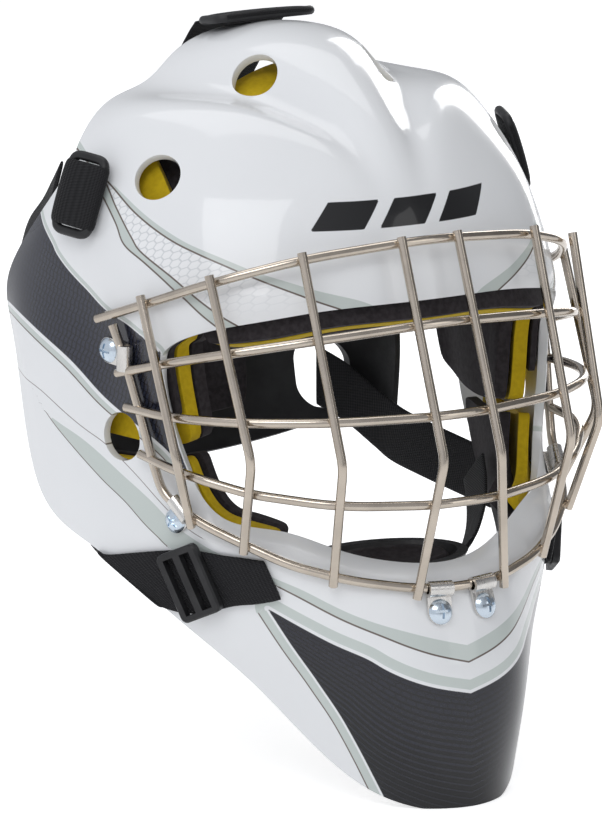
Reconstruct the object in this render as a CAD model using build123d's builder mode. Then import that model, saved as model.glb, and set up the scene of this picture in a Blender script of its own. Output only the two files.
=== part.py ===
from build123d import *
import os
import numpy as np

# Goalie mask: moulded shell, wire cage on clips, layered foam liner, chin cup on its
# sling, and a back plate that hangs from the shell on elastic straps.
# Millimetres. +Z up, the mask looks along -Y, +X is the wearer's left.
# The origin is under the middle of the mask, at the height of the chin's bottom rim.

os.makedirs("parts", exist_ok=True)

# ---------------------------------------------------------------- driving dimensions
SHELL_WALL = 4.0
WIRE_RADIUS = 2.0
WELD_OFFSET = 1.8          # half of the distance between two crossing wires
VENT_RADIUS = 10.4
SCREW_HOLE_RADIUS = 2.6
STRAP_WIDTH = 27.0
CROWN_STRAP_WIDTH = 46.0
STRAP_THICKNESS = 1.8

# Outer skin of the shell, left half. Each station is a line over the skin that starts at
# the eye opening and ends at the rear or bottom rim. The stations go round the opening
# from the middle of the forehead (first) to the middle of the chin (last).
SKIN_STATIONS = np.array([
    # middle of the forehead, over the crown
    [(0, -94.5, 211.5), (0, -91, 222), (0, -82, 243), (0, -66.5, 271),
     (0, -37, 297), (0, 5, 313.5), (0, 52, 309)],
    [(24, -92.3, 211.2), (24.5, -89, 221.5), (25, -80, 242), (26, -63, 269),
     (28, -34, 292.5), (31, 4, 307), (30, 50, 304.5)],
    [(48, -85, 209.5), (49, -82, 219.5), (50, -72, 239), (51, -55, 263),
     (54, -27, 285), (58, 6, 294), (56, 44, 296)],
    [(70, -75, 206), (71.5, -72, 216), (73, -60, 234), (75.5, -43, 254),
     (79, -14, 274), (82, 11, 283), (80, 37, 284.5)],
    [(88, -58.5, 200.5), (90, -55, 209), (92, -44, 224), (95, -28, 240),
     (97.5, -8, 255), (99, 11, 264), (98, 28, 268)],
    # brow corner, back to the temple
    [(97.5, -44, 192), (100, -39, 197), (102.5, -29, 207), (104.5, -14, 220),
     (108, 3, 233), (110, 17, 245), (108.5, 25, 253)],
    [(97, -40.5, 180), (99.5, -35.5, 183), (102.5, -20, 189), (106, 0, 198),
     (112, 22, 206), (114, 44, 212), (112, 61, 212)],
    [(93.5, -43.5, 158), (97, -38, 158), (101, -22, 160), (106.5, 0, 165),
     (113, 22, 170), (115, 42, 174), (112, 58, 177)],
    # lower corner of the opening, back to the jaw
    [(88, -49, 136), (91.5, -44, 131.5), (97, -30, 128), (104, -12, 125),
     (110, 5, 122), (112.5, 22, 121), (112, 39, 120.5)],
    [(78, -60, 119.5), (85.5, -59.5, 113), (89.5, -50, 108), (95, -37.5, 104),
     (100, -25, 101), (104.5, -13, 99), (107.5, -2, 99.5)],
    [(60, -77, 115.5), (67.5, -84, 107), (71, -80.5, 97.5), (75, -72, 88),
     (80, -62.5, 81.5), (85.5, -51, 76.5), (91, -40, 75)],
    [(40, -89.5, 107.5), (45, -100.5, 100), (48.5, -100.5, 88.5), (52, -97, 74),
     (56, -91, 62), (60, -81, 51), (64.5, -68, 44)],
    [(20, -100.5, 102.5), (22.5, -112.5, 97), (24.5, -117, 84.5), (28, -119.5, 66.5),
     (31, -119, 46), (34, -113.5, 25), (37.5, -105, 8)],
    # middle of the chin
    [(0, -105.5, 101), (0, -115, 96), (0, -121, 84), (0, -126, 66),
     (0, -128.5, 45), (0, -129.3, 22), (0, -129, -1.5)],
], dtype=float)
LAST_STATION = len(SKIN_STATIONS) - 1
LAST_STEP = SKIN_STATIONS.shape[1] - 1

# The scooped valley each side of the crown's spine, every 20 mm from the forehead back.
VALLEY_START_Y = -80
VALLEY_STEP = 20
VALLEY_CENTRE = np.array([10.0, 16, 25, 35, 45, 53, 58, 62])
VALLEY_DEPTH = np.array([0.0, 4, 9, 11, 10, 8, 6, 5])
VALLEY_WIDTH = np.array([9.0, 13, 18, 22, 25, 28, 30, 31])
HEAD_CENTRE = np.array([0.0, 0.0, 190.0])
LIP_STEP = 1.5             # the rolled lip lies between the opening and this step

# Places on the skin (the left side's; the right side mirrors them).
TOP_VENT = (31, -6, 297)
TEMPLE_VENT = (86, -19, 259.5)
SIDE_VENT = (103.5, -15.5, 150)
CHIN_SCREW = (11, -120, 83.4)
SIDE_SCREW = (92, -43.5, 118)
TEMPLE_SCREW = (104, -9, 186.5)

# Cage: where each upright meets the top bar, where it bends, and where it ends.
UPRIGHT_LINES = [
    [(104.4, -36.5, 214.5), (104.2, -65, 148), (92, -56, 118)],
    [(89.4, -66.3, 226.5), (86, -93.5, 151), (80.2, -78, 109.5)],
    [(56.8, -85.7, 236), (56.2, -116.5, 150), (51.5, -101.5, 96.5)],
    [(13.6, -93.3, 239.5), (14, -127.5, 150), (21.4, -118.5, 90.5)],
]
UPRIGHT_BEND = 14.0
BAR_BEND_LIMIT = 80.0
# Cross bars from the middle to the left end, top bar first.
CROSS_BAR_LINES = [
    [(0, -95.5, 236.8), (13.6, -94.5, 236.4), (56.8, -86.9, 232.8),
     (89.3, -67.5, 223.3), (105.4, -38.5, 211), (111.2, -7, 200)],
    [(0, -108, 203.6), (13.5, -106.8, 203.2), (55.9, -98.5, 200.2),
     (88, -77.8, 194.5), (104.3, -49.5, 187), (107.2, -17, 178)],
    [(0, -122, 167.2), (13.8, -121, 167.1), (56.4, -110.5, 167.2),
     (86.6, -88, 166.5), (104.3, -57.8, 165.3), (105.9, -22, 164)],
    [(0, -126.8, 130.8), (16.5, -125, 130.5), (54.5, -111, 131.5),
     (82.8, -86, 135.5), (102, -62.5, 142), (102.6, -28, 144.5)],
]
# Perimeter wire from the top bar's end down the side and under the lip to the chin.
PERIMETER_LINE = [
    (107.8, -17, 199), (105.4, -22, 186.5), (103, -29.5, 166), (100, -37, 142), (98.3, -41.5, 130),
    (94.8, -50.5, 124.4), (90, -61, 119), (80.5, -77.5, 112.6), (66, -91.5, 104.5), (46, -106.5, 98.5),
    (21, -118, 94.3), (0, -120.7, 93.3),
]


# ---------------------------------------------------------------- helpers
def spline_weights(count, places, closed):
    """Rows of weights: a cubic spline through `count` equally spaced stations."""
    eye = np.eye(count)
    bend = 6 * (np.roll(eye, 1, 1) - 2 * eye + np.roll(eye, -1, 1))
    system = 4 * eye + np.roll(eye, 1, 1) + np.roll(eye, -1, 1)
    if not closed:
        system[[0, -1]] = eye[[0, -1]]
        bend[[0, -1]] = 0
    curvature = np.linalg.solve(system, bend)
    start = np.floor(places).astype(int)
    if not closed:
        start = np.clip(start, 0, count - 2)
    s = (np.asarray(places) - start)[:, None]
    start, after = start % count, (start + 1) % count
    ends = (1 - s) * eye[start] + s * eye[after]
    sag = ((1 - s) ** 3 - (1 - s)) * curvature[start] + (s ** 3 - s) * curvature[after]
    return ends + sag / 6


def skin(u, v, inset=0.0, carved=True):
    """Points on the shell's skin: u counts stations round the opening (negative on the
    right side), v counts steps from the opening to the rim, inset goes into the wall.
    Without the carving, the two valleys of the crown are bridged."""
    mirrored = SKIN_STATIONS[LAST_STATION - 1:0:-1] * np.array([-1, 1, 1])
    ring = np.concatenate([SKIN_STATIONS, mirrored])

    def outer(u_list, v_list):
        round_weights = spline_weights(len(ring), u_list, True)
        out_weights = spline_weights(LAST_STEP + 1, v_list, False)
        points = np.einsum("ai,ijk,bj->abk", round_weights, ring, out_weights)
        if not carved:
            return points
        stations = (points[..., 1] - VALLEY_START_Y) / VALLEY_STEP
        rows = spline_weights(len(VALLEY_CENTRE), stations.ravel().clip(0, 7), False)
        centre = (rows @ VALLEY_CENTRE).reshape(stations.shape)
        depth = (rows @ VALLEY_DEPTH).reshape(stations.shape)
        width = (rows @ VALLEY_WIDTH).reshape(stations.shape)
        depth = depth * np.exp(-2.2 * ((np.abs(points[..., 0]) - centre) / width) ** 2)
        depth = depth / (1 + np.exp((245 - points[..., 2]) / 5))
        inward = HEAD_CENTRE - points
        inward = inward / np.linalg.norm(inward, axis=-1, keepdims=True)
        return points + inward * depth[..., None]

    u, v = np.atleast_1d(u).astype(float), np.atleast_1d(v).astype(float)
    points = outer(u, v)
    if inset == 0:
        return points
    step = 0.01
    along = outer(u + step, v) - outer(u - step, v)
    across = outer(u, v + step) - outer(u, v - step)
    normal = np.cross(along, across)
    normal = normal / np.linalg.norm(normal, axis=-1, keepdims=True)
    return points - normal * inset


def skin_place(target):
    """The (u, v) of the left skin point that is nearest to a target."""
    best_u, best_v, reach = LAST_STATION / 2, LAST_STEP / 2, LAST_STATION / 2
    for spread in (reach, 0.6, 0.05):
        u = np.clip(np.linspace(best_u - spread, best_u + spread, 81), 0, LAST_STATION)
        v = np.clip(np.linspace(best_v - spread, best_v + spread, 81), 0, LAST_STEP)
        gap = np.linalg.norm(skin(u, v) - np.array(target), axis=-1)
        row, column = np.unravel_index(gap.argmin(), gap.shape)
        best_u, best_v = u[row], v[column]
    return best_u, best_v


def skin_plane(target, toward=(0, 0, 1), height=0.0):
    """Plane on the skin near a target: +Z out of the skin, +Y along `toward`."""
    u, v = skin_place(target)
    surface = skin(u, v)[0, 0]
    outward = surface - skin(u, v, 1.0)[0, 0]
    toward = np.array(toward, float)
    toward = toward - outward * toward.dot(outward)
    x_dir = np.cross(toward, outward)
    origin = surface + outward * height
    return Plane(origin=tuple(origin), x_dir=tuple(x_dir), z_dir=tuple(outward))


def skin_surface(u, v, inset, carved=True):
    """A point that follows the skin at an inset."""
    return skin(float(u), float(v), inset, carved)[0, 0]


def liner_surface(u, v, inset, carved=True):
    """A point of the liner: it follows the skin, but runs straight behind the rolled lip."""
    if v >= LIP_STEP:
        return skin_surface(u, v, inset, carved)
    foot, rim = skin_surface(u, LIP_STEP, 0, carved), skin_surface(u, 0, 0, carved)
    return skin_surface(u, LIP_STEP, inset, carved) + (rim - foot) * (1 - v / LIP_STEP)


def surface_through(points):
    """A smooth face through a grid of points."""
    return Face.make_surface_from_array_of_points([[Vector(*p) for p in row] for row in points], tol=0.05)


def finish(part, name):
    """Label a finished part and write its STEP file."""
    part.label = name
    export_step(part, f"parts/{name}.step")


def mirrored_points(line):
    """A line from the middle to one side, continued to the other side."""
    return [(-x, y, z) for x, y, z in reversed(line) if x > 0] + list(line)


def moved_out(line, distance):
    """Cage points moved away from the middle of the face."""
    moved = []
    for x, y, z in line:
        reach = (x ** 2 + (y + 10) ** 2) ** 0.5
        moved.append((x + distance * x / reach, y + distance * (y + 10) / reach, z))
    return moved


def side_pair(part, name):
    """Write a left-hand part and its mirror image as two nodes."""
    with BuildPart() as right:
        add(part)
        mirror(about=Plane.YZ, mode=Mode.REPLACE)
    finish(part, f"{name}_left")
    finish(right.part, f"{name}_right")


# ---------------------------------------------------------------- shell
def build_shell():
    """Half of the skin thickened inwards, mirrored, then pierced for vents and screws."""
    overlap = 0.3
    u = np.linspace(-overlap, LAST_STATION + overlap, 46)
    v = np.linspace(0, LAST_STEP, 16)
    half_skin = surface_through(skin(u, v))
    with BuildPart() as shell:
        thicken(half_skin, amount=SHELL_WALL, normal_override=(-1, 0, 0))
        split(bisect_by=Plane.YZ, keep=Keep.TOP)
        for target in (TOP_VENT, TEMPLE_VENT, SIDE_VENT):
            with Locations(skin_plane(target)):
                Cylinder(VENT_RADIUS, 40, mode=Mode.SUBTRACT)
        for target in (CHIN_SCREW, SIDE_SCREW, TEMPLE_SCREW):
            with Locations(skin_plane(target)):
                Cylinder(SCREW_HOLE_RADIUS, 20, mode=Mode.SUBTRACT)
        mirror(about=Plane.YZ)
        split(bisect_by=Plane.XY, keep=Keep.TOP)
    return shell.part


# ---------------------------------------------------------------- cage
def bend_radii(line):
    """The largest radius, up to a limit, that fits each bend of a line."""
    points = np.array(line, float)
    before, after = points[1:-1] - points[:-2], points[2:] - points[1:-1]
    before_length, after_length = np.linalg.norm(before, axis=1), np.linalg.norm(after, axis=1)
    turn = np.arccos(np.clip((before * after).sum(axis=1) / (before_length * after_length), -1, 1))
    room = 0.47 * np.minimum(before_length, after_length)
    return np.minimum(BAR_BEND_LIMIT, room / np.tan(turn / 2)).tolist()


def bar(line):
    """One cage wire, bent at its points."""
    with BuildPart() as wire:
        with BuildLine() as path:
            FilletPolyline(*line, radius=bend_radii(line))
        with BuildSketch(Plane(origin=path.line @ 0, z_dir=path.line % 0)):
            Circle(WIRE_RADIUS)
        sweep()
    return wire.part


def upright(line):
    """One cage wire with a single bend below the eyes."""
    with BuildPart() as wire:
        with BuildLine() as path:
            FilletPolyline(*line, radius=UPRIGHT_BEND)
        with BuildSketch(Plane(origin=path.line @ 0, z_dir=path.line % 0)):
            Circle(WIRE_RADIUS)
        sweep()
    return wire.part


def build_cage():
    """Welded wire cage: top bar, cross bars, uprights and the perimeter wire."""
    finish(bar(mirrored_points(PERIMETER_LINE[::-1])), "cage_perimeter_wire")
    bars = [bar(mirrored_points(moved_out(line, -WELD_OFFSET))) for line in CROSS_BAR_LINES]
    finish(bars[0], "cage_top_bar")
    finish(Compound(children=bars[1:]), "cage_cross_bars")
    uprights = []
    for line in UPRIGHT_LINES:
        left = upright(moved_out(line, WELD_OFFSET))
        uprights += [left, left.mirror(Plane.YZ)]
    finish(Compound(children=uprights), "cage_uprights")


# ---------------------------------------------------------------- cage clips
CLIP_WIDTH = 11.0
CLIP_SHEET = 1.3
CLIP_GAP = 0.3             # between the clip's tab and the shell
SCREW_HEAD_RADIUS = 5.4
SCREW_HEAD_HEIGHT = 2.9
SCREW_RADIUS = 2.3
SCREW_LENGTH = 9.0         # below the clip's tab
HEAD_RELIEF_HEIGHT = 8.0   # the sleeve is cut back this far beside the screw's head
NUT_RADIUS = 5.0
NUT_BORE = 2.45
NUT_GAP = 0.4              # between the nut's flange and the shell


def clip_frame(screw, wire):
    """The skin plane at a screw, with +Y towards the wire, and the wire's place in it."""
    plane = skin_plane(screw, toward=np.array(wire) - np.array(screw))
    local = plane.to_local_coords(Vector(*wire))
    return plane, local.Y, local.Z


def build_clip(plane, reach, height, shell_room):
    """Sheet clip: a sleeve round the wire and a tab with the screw hole, clear of the shell."""
    sleeve_radius = WIRE_RADIUS + 0.1 + CLIP_SHEET
    corner = plane.from_local_coords(Vector(-CLIP_WIDTH / 2, 0, 0))
    side = Plane(origin=corner, x_dir=plane.y_dir, z_dir=plane.x_dir)
    with BuildPart() as clip:
        with BuildSketch(side):
            with Locations((reach, height)):
                Circle(sleeve_radius)
            wall_top = max(height, CLIP_GAP + CLIP_SHEET)
            with BuildLine():
                near, far = reach - sleeve_radius, reach - sleeve_radius + CLIP_SHEET
                Polyline((near, CLIP_GAP), (far, CLIP_GAP), (far, wall_top), (near, wall_top), close=True)
            make_face()
        extrude(amount=CLIP_WIDTH)
        with BuildSketch(plane.offset(CLIP_GAP)):
            Circle(CLIP_WIDTH / 2)
            with Locations((0, (reach - WIRE_RADIUS) / 2)):
                Rectangle(CLIP_WIDTH, reach - WIRE_RADIUS)
        extrude(amount=CLIP_SHEET)
        with BuildSketch(side):
            with Locations((reach, height)):
                Circle(WIRE_RADIUS + 0.1)
        extrude(amount=CLIP_WIDTH, mode=Mode.SUBTRACT)
        with Locations(plane):
            Cylinder(SCREW_HOLE_RADIUS, 12, mode=Mode.SUBTRACT)
        with Locations(plane.offset(CLIP_GAP + CLIP_SHEET + HEAD_RELIEF_HEIGHT / 2)):
            Cylinder(SCREW_HEAD_RADIUS + 0.3, HEAD_RELIEF_HEIGHT, mode=Mode.SUBTRACT)
        add(shell_room, mode=Mode.SUBTRACT)
    return clip.part


def build_screw(plane):
    """Truss-head screw with a cross recess, through the clip and the shell."""
    seat = CLIP_GAP + CLIP_SHEET + 0.05
    dome_radius = (SCREW_HEAD_RADIUS ** 2 + SCREW_HEAD_HEIGHT ** 2) / (2 * SCREW_HEAD_HEIGHT)
    with BuildPart() as screw:
        with Locations(plane.offset(seat + SCREW_HEAD_HEIGHT - dome_radius)):
            Sphere(dome_radius)
        split(bisect_by=plane.offset(seat), keep=Keep.TOP)
        with BuildSketch(plane.offset(seat + SCREW_HEAD_HEIGHT)):
            Rectangle(6.4, 1.1)
            Rectangle(1.1, 6.4)
        extrude(amount=-1.6, mode=Mode.SUBTRACT)
        with BuildSketch(plane.offset(seat)):
            Circle(SCREW_RADIUS)
        extrude(amount=-SCREW_LENGTH)
    return screw.part


def build_nut(plane):
    """Flanged nut on the inside of the shell."""
    with BuildPart() as nut:
        with BuildSketch(plane.offset(-SHELL_WALL - NUT_GAP)):
            Circle(NUT_RADIUS)
        extrude(amount=-1.2)
        with BuildSketch(plane.offset(-SHELL_WALL - NUT_GAP - 1.2)):
            RegularPolygon(4.0, 6)
        extrude(amount=-2.6)
        with Locations(plane):
            Cylinder(NUT_BORE, 30, mode=Mode.SUBTRACT)
    return nut.part


CLIPS = {
    "chin": (CHIN_SCREW, (10.6, -120.2, 93.5)),
    "side": (SIDE_SCREW, (94.8, -50.5, 124.4)),
    "temple": (TEMPLE_SCREW, (105.2, -22.5, 185.5)),
}


def build_clips():
    """Three pairs of clips, each with its screws and nuts."""
    for name, (screw_place, wire_place) in CLIPS.items():
        plane, reach, height = clip_frame(screw_place, wire_place)
        u, v = skin_place(screw_place)
        room_corners = box_corners(u - 0.6, u + 0.6, max(v - 1.6, 0), v + 1.0)
        shell_room = skin_patch(room_corners, -CLIP_GAP, SHELL_WALL, surface=skin_surface)
        pieces = {
            "clips": build_clip(plane, reach, height, shell_room),
            "clip_screws": build_screw(plane),
            "clip_nuts": build_nut(plane),
        }
        for kind, piece in pieces.items():
            finish(Compound(children=[piece, piece.mirror(Plane.YZ)]), f"{name}_{kind}")


# ---------------------------------------------------------------- liner
NUT_POCKET_RADIUS = 7.5
LAYER_GAP = 0.7            # clearance between the shell and the first layer of foam
FRONT_LAYER_GAP = 1.5      # between the layers that bend the most
JAW_LAYER_GAP = 3.6        # the chin's lip slants across the layers, which closes most of this
VALLEY_ROOM = 10.5         # the crown pad bridges the valleys of the shell


def skin_patch(corners, inset, thickness, pockets=(), carved=True, surface=liner_surface):
    """A layer that follows the skin between four (u, v) corners, from `inset` inwards."""
    grid = 7
    corners = np.array(corners, float)
    layer = []
    for a in np.linspace(0, 1, grid):
        start = corners[0] * (1 - a) + corners[3] * a
        end = corners[1] * (1 - a) + corners[2] * a
        row = [start * (1 - b) + end * b for b in np.linspace(0, 1, grid)]
        layer.append([surface(*place, inset, carved) for place in row])
    middle = corners.mean(axis=0)
    inward = surface(*middle, inset + 1, carved) - surface(*middle, inset, carved)
    with BuildPart() as patch:
        thicken(surface_through(layer), amount=thickness, normal_override=tuple(inward))
        for target in pockets:
            with Locations(skin_plane(target, height=-SHELL_WALL)):
                Cylinder(NUT_POCKET_RADIUS, 13, mode=Mode.SUBTRACT)
    return patch.part


def box_corners(u_from, u_to, v_from, v_to):
    """The four corners of a patch that runs along the stations."""
    return [(u_from, v_from), (u_to, v_from), (u_to, v_to), (u_from, v_to)]


def build_liner():
    """Foam pads in layers: brow, crown, temples and jaw."""
    inset = SHELL_WALL + LAYER_GAP
    for name, thickness in (("outer", 3.0), ("core", 6.5), ("inner", 6.0)):
        finish(skin_patch(box_corners(-4.1, 4.1, -0.45, 1.9), inset, thickness), f"brow_foam_{name}")
        pockets = () if name == "inner" else (TEMPLE_SCREW,)
        pad = skin_patch(box_corners(4.5, 7.4, 0.1, 5.2), inset, thickness, pockets)
        side_pair(pad, f"temple_foam_{name}")
        inset += thickness + FRONT_LAYER_GAP
    inset = SHELL_WALL + FRONT_LAYER_GAP
    for name, thickness in (("core", 5.0), ("inner", 4.6)):
        pockets = (SIDE_SCREW,) if name == "core" else ()
        pad = skin_patch(box_corners(7.6, 9.9, 0.2, 4.4), inset, thickness, pockets)
        side_pair(pad, f"jaw_foam_{name}")
        inset += thickness + JAW_LAYER_GAP
    inset = SHELL_WALL + FRONT_LAYER_GAP + VALLEY_ROOM
    for name, thickness in (("core", 6.5), ("inner", 6.0)):
        crown = skin_patch(box_corners(-1.9, 1.9, 2.6, 5.2), inset, thickness, carved=False)
        finish(crown, f"crown_foam_{name}")
        inset += thickness + FRONT_LAYER_GAP


# ---------------------------------------------------------------- back plate
PLATE_WALL = 3.0
PLATE_FOAM = 9.0
PLATE_REAR = 130.9
# From the bottom edge to the top: (height in the middle, rise at the ends, half width,
# rear y in the middle, y at the ends).
PLATE_ROWS = [
    (104, 20, 95, PLATE_REAR - 13, 67),
    (137, 12, 97, PLATE_REAR - 3, 67),
    (170, 4, 96, PLATE_REAR, 69),
    (204, -3, 88, PLATE_REAR - 2, 78),
    (236, -12, 66, PLATE_REAR - 13, 94),
]
# The side slots for the elastics: (x, z, length, width).
PLATE_SLOTS = [(75, 138, 32.0, 22.0), (60, 200, 30.0, 9.0)]
CROWN_SLOT_WIDTH = 9.0


def plate_face(inset):
    """The back plate's face, curved round the back of the head."""
    rows = []
    for middle_z, rise, half_width, rear, end in PLATE_ROWS:
        row = []
        for turn in np.linspace(-90, 90, 13):
            side, back = np.sin(np.radians(turn)), np.cos(np.radians(turn))
            x = (half_width - inset) * side
            y = end + (rear - inset - end) * back ** 0.8
            row.append((x, y, middle_z + rise * side ** 2))
        rows.append(row)
    return surface_through(rows)


def build_back_plate():
    """Moulded back plate with its slots, and two layers of foam inside it."""
    with BuildPart() as plate:
        thicken(plate_face(0), amount=PLATE_WALL, normal_override=(0, -1, 0))
        for x, z, length, width in PLATE_SLOTS:
            for side in (-1, 1):
                with BuildSketch(Plane(origin=(side * x, 70, z), x_dir=(0, 0, 1), z_dir=(0, 1, 0))):
                    SlotOverall(length, width)
                extrude(amount=80, mode=Mode.SUBTRACT)
        with BuildSketch(Plane(origin=(0, 70, 222), x_dir=(1, 0, 0), z_dir=(0, 1, 0))):
            SlotOverall(CROWN_STRAP_WIDTH + 8, CROWN_SLOT_WIDTH)
        extrude(amount=80, mode=Mode.SUBTRACT)
    finish(plate.part, "back_plate")
    inset = PLATE_WALL + LAYER_GAP
    for name, thickness in (("core", 3.5), ("inner", 6.0)):
        with BuildPart() as foam:
            thicken(plate_face(inset), amount=thickness, normal_override=(0, -1, 0))
            with BuildSketch(Plane(origin=(0, 60, 165), x_dir=(1, 0, 0), z_dir=(0, 1, 0))):
                RectangleRounded(84, 84, 14)
            extrude(amount=90, mode=Mode.INTERSECT)
        finish(foam.part, f"back_plate_foam_{name}")
        inset += thickness + LAYER_GAP


# ---------------------------------------------------------------- harness
def ribbon(points, widths, thickness=STRAP_THICKNESS):
    """A strap through its centre points, with the half-width vector at each of them."""
    points, widths = np.array(points, float), np.array(widths, float)
    edges = [points + widths * side for side in (-1, -0.33, 0.33, 1)]
    middle = len(points) // 2
    normal = np.cross(widths[middle], points[middle + 1] - points[middle - 1])
    with BuildPart() as strap:
        thicken(surface_through(edges), amount=thickness, normal_override=tuple(normal))
    return strap.part


FOLD_LIFT = 0.8            # between the shell and the webbing on it
CROWN_FOLD = 4.6
TEMPLE_FOLD = 5.0
# Places on the skin as (u, v).
TEMPLE_FOLD_CORNERS = [(4.62, 5.6), (5.42, 4.6), (5.02, 4.05), (4.18, 4.75)]
JAW_WEBBING_UPPER = [(9.05, 5.95), (8.97, 4.4), (8.98, 3.0), (9.1, 1.95), (9.45, 1.45), (9.85, 1.28)]
JAW_WEBBING_LOWER = [(9.83, 5.95), (9.9, 5.2), (9.95, 4.3), (10.0, 3.5), (10.13, 2.95), (10.3, 2.45)]


def build_webbing():
    """The folded webbing ends that lie on the shell, and the plastic loops in their folds."""
    crown = skin_patch(box_corners(-0.7, 0.7, 5.4, 5.96), -FOLD_LIFT - CROWN_FOLD, CROWN_FOLD)
    finish(crown, "crown_webbing")
    temple = skin_patch(TEMPLE_FOLD_CORNERS, -FOLD_LIFT - TEMPLE_FOLD, TEMPLE_FOLD)
    side_pair(temple, "temple_webbing")
    lower, upper = np.array(JAW_WEBBING_LOWER), np.array(JAW_WEBBING_UPPER)
    strips = [lower + (upper - lower) * share for share in (0, 0.33, 0.67, 1)]
    face = surface_through([[skin(u, v, -FOLD_LIFT)[0, 0] for u, v in strip] for strip in strips])
    with BuildPart() as jaw:
        thicken(face, amount=STRAP_THICKNESS, normal_override=(1, -0.3, 0))
    side_pair(jaw.part, "jaw_webbing")


TRIGLIDE_PLACE = (87.9, -50.7, 93.1)
TRIGLIDE_LENGTH = 31.0     # across the strap
TRIGLIDE_WIDTH = 21.5      # along the strap
TRIGLIDE_RIM = 2.8
TRIGLIDE_HEIGHT = 3.2
TRIGLIDE_BAR = 3.6
TRIGLIDE_HEIGHT_OFF_SKIN = 3.4


def build_triglides():
    """Plastic slide buckle over the jaw webbing: a frame with two windows."""
    plane = skin_plane(TRIGLIDE_PLACE, toward=(0.2, 0.4, 1), height=TRIGLIDE_HEIGHT_OFF_SKIN)
    with BuildPart() as buckle:
        with BuildSketch(plane):
            RectangleRounded(TRIGLIDE_WIDTH, TRIGLIDE_LENGTH, 3)
        extrude(amount=TRIGLIDE_HEIGHT)
        window = (TRIGLIDE_WIDTH - 3 * TRIGLIDE_BAR) / 2
        with BuildSketch(plane):
            with Locations((-(window + TRIGLIDE_BAR) / 2, 0), ((window + TRIGLIDE_BAR) / 2, 0)):
                Rectangle(window, TRIGLIDE_LENGTH - 2 * TRIGLIDE_RIM)
        extrude(amount=TRIGLIDE_HEIGHT, mode=Mode.SUBTRACT)
        top = buckle.faces().sort_by(lambda face: plane.to_local_coords(face.center()).Z)[-1]
        chamfer(top.outer_wire().edges(), 0.8)
    side_pair(buckle.part, "jaw_triglide")


def build_elastics():
    """The elastic straps from the shell's rear edge to the back plate."""
    half = CROWN_STRAP_WIDTH / 2
    crown_line = [
        (0, 55.5, 310.5), (0, 63, 303), (0, 84, 279), (0, 104, 257), (0, 121.2, 238), (0, 124, 230),
    ]
    finish(ribbon(crown_line, [(half, 0, 0)] * len(crown_line)), "crown_elastic")
    half = STRAP_WIDTH / 2
    temple_line = [
        (106.5, 32, 250), (100, 49.5, 240), (92, 72, 227), (85.5, 94, 215), (74.5, 117, 204), (64, 127.5, 200),
    ]
    temple_width = [(0, -0.42 * half, 0.9 * half)] * len(temple_line)
    side_pair(ribbon(temple_line, temple_width), "temple_elastic")
    jaw_line = [
        (101, -5, 90), (96, 16, 92), (90, 42, 99), (86.5, 60, 107), (85, 74, 118), (79, 88, 129), (70, 100, 138),
    ]
    jaw_width = [(0, -0.3 * half, 0.94 * half)] * 4 + [(0, 0, half)] * 3
    side_pair(ribbon(jaw_line, jaw_width), "jaw_elastic")


# ---------------------------------------------------------------- chin cup
CUP_CENTRE = (0, -62, 96)
CUP_HALF_WIDTH = 38.0
CUP_HALF_DEPTH = 27.0
CUP_HEIGHT = 26.0
CUP_WALL = 4.0
CUP_PAD_DEPTH = 12.0


def build_chin_cup():
    """Padded chin cup, its sling straps and the snaps that hold them in the jaw."""
    with BuildPart() as cup:
        with BuildSketch(Plane.XY.offset(CUP_CENTRE[2])):
            with Locations(CUP_CENTRE[:2]):
                Ellipse(CUP_HALF_WIDTH, CUP_HALF_DEPTH)
        extrude(amount=-CUP_HEIGHT, taper=28)
        fillet(cup.faces().sort_by(Axis.Z)[0].edges(), 5)
        offset(amount=-CUP_WALL, openings=cup.faces().sort_by(Axis.Z)[-1])
    finish(cup.part, "chin_cup")
    with BuildPart() as pad:
        with BuildSketch(Plane.XY.offset(CUP_CENTRE[2] - 2)):
            with Locations(CUP_CENTRE[:2]):
                Ellipse(CUP_HALF_WIDTH - CUP_WALL - 4, CUP_HALF_DEPTH - CUP_WALL - 4)
        with BuildSketch(Plane.XY.offset(CUP_CENTRE[2] - 2 - CUP_PAD_DEPTH)):
            with Locations(CUP_CENTRE[:2]):
                Ellipse(CUP_HALF_WIDTH - CUP_WALL - 10, CUP_HALF_DEPTH - CUP_WALL - 10)
        loft()
    finish(pad.part, "chin_cup_pad")
    sling_line = [(39.6, -62, 92), (46, -57, 96), (57, -45, 103), (67, -30, 110), (76, -14, 116)]
    sling_width = [(0, -7.5, 7.5)] * len(sling_line)
    side_pair(ribbon(sling_line, sling_width), "chin_sling")


# ---------------------------------------------------------------- build everything
finish(build_shell(), "shell")
build_cage()
build_clips()
build_liner()
build_back_plate()
build_webbing()
build_triglides()
build_elastics()
build_chin_cup()
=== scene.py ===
import math
import bpy
import numpy as np
from mathutils import Matrix, Vector


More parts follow.
